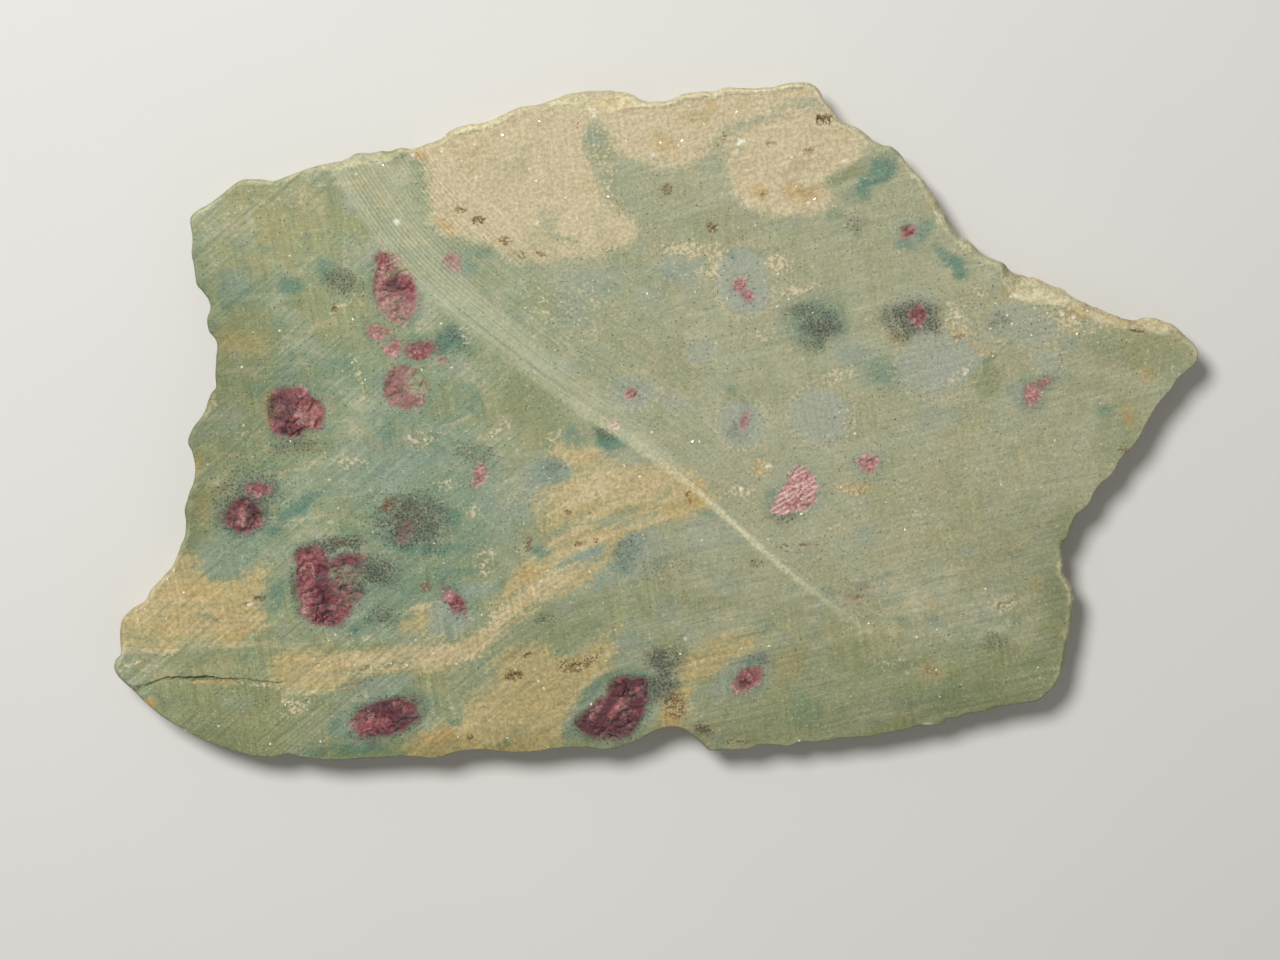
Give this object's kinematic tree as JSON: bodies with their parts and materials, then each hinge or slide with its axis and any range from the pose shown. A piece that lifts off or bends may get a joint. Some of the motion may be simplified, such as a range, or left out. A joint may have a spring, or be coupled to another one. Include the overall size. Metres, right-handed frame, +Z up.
{
  "type": "ruby in fuchsite slab",
  "caption": "Thin sawn slab of green mica rock with red crystals and cream patches, flat on both faces, with an irregular broken rim.",
  "frame": {"origin": "under the middle of the slab's box, on the surface it lies on", "axes": "+Z up out of the sawn face that carries the saw step, +X along the slab's length towards its pointed end, +Y towards its longer arched side"},
  "size_m": [0.1306, 0.0818, 0.0065],
  "materials": {
    "stone": "matte saw-cut rock"
  },
  "bodies": {
    "root": {"slab": "stone"}
  },
  "joints": []
}
